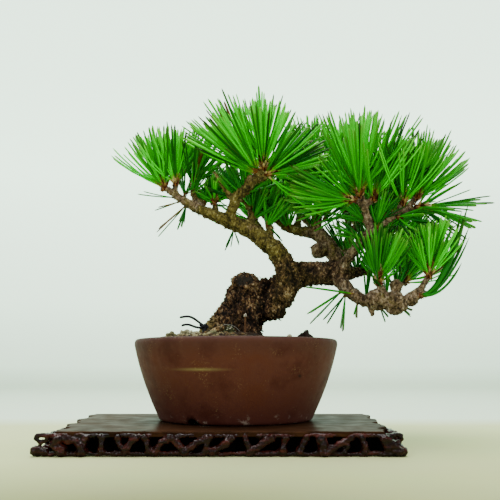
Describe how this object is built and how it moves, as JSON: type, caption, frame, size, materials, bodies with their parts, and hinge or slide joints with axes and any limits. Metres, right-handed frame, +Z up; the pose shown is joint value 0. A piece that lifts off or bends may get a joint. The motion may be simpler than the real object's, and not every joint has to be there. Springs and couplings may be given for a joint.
{
  "type": "bonsai tree in a pot",
  "caption": "Leaning pine bonsai with tufts of needles in a round unglazed pot, standing on a low carved wooden stand.",
  "frame": {"origin": "centre of the whole object's footprint, on the surface under the stand", "axes": "+X to the right along the stand's long side, the way the tree leans; +Y to the back; +Z up"},
  "size_m": [0.2862, 0.1544, 0.237],
  "materials": {
    "stoneware": "matte",
    "net": "matte",
    "soil": "matte",
    "bark": "matte",
    "needles": "satin",
    "black_wire": "satin",
    "grey_wire": "satin",
    "peg": "matte",
    "pebble": "matte",
    "bark_chip": "matte",
    "stand_board": "gloss",
    "stand_apron": "gloss"
  },
  "bodies": {
    "root": {"pot": "stoneware", "drain_net": "net", "soil": "soil", "trunk": "bark", "needles_left_tip": "needles", "needles_left_upper": "needles", "needles_left_inner": "needles", "needles_left_back": "needles", "needles_left_small": "needles", "needles_crown": "needles", "needles_crown_left": "needles", "needles_crown_right": "needles", "needles_left_rear": "needles", "needles_middle_low": "needles", "needles_top": "needles", "needles_top_left": "needles", "needles_top_right": "needles", "needles_right_tip": "needles", "needles_right_upper": "needles", "needles_right_low": "needles", "needles_low_middle": "needles", "needles_low_tip": "needles", "needles_low_sweep": "needles", "needles_low_back": "needles", "needles_back_top": "needles", "needles_back_right": "needles", "needles_back_left": "needles", "needles_back_middle": "needles", "needles_back_inner": "needles", "needles_gap_right": "needles", "needles_right_rear": "needles", "needles_rear_left": "needles", "needles_rear_middle": "needles", "needles_rear_right": "needles", "needles_rear_tip": "needles", "needles_back_crown": "needles", "tie_wire": "black_wire", "thin_wire": "grey_wire", "peg": "peg", "pebble_1": "pebble", "pebble_2": "pebble", "pebble_3": "pebble", "pebble_4": "pebble", "pebble_5": "pebble", "pebble_6": "pebble", "bark_chip": "bark_chip", "stand_board": "stand_board", "stand_front_apron": "stand_apron", "stand_back_apron": "stand_apron", "stand_left_apron": "stand_apron", "stand_right_apron": "stand_apron"}
  },
  "joints": []
}
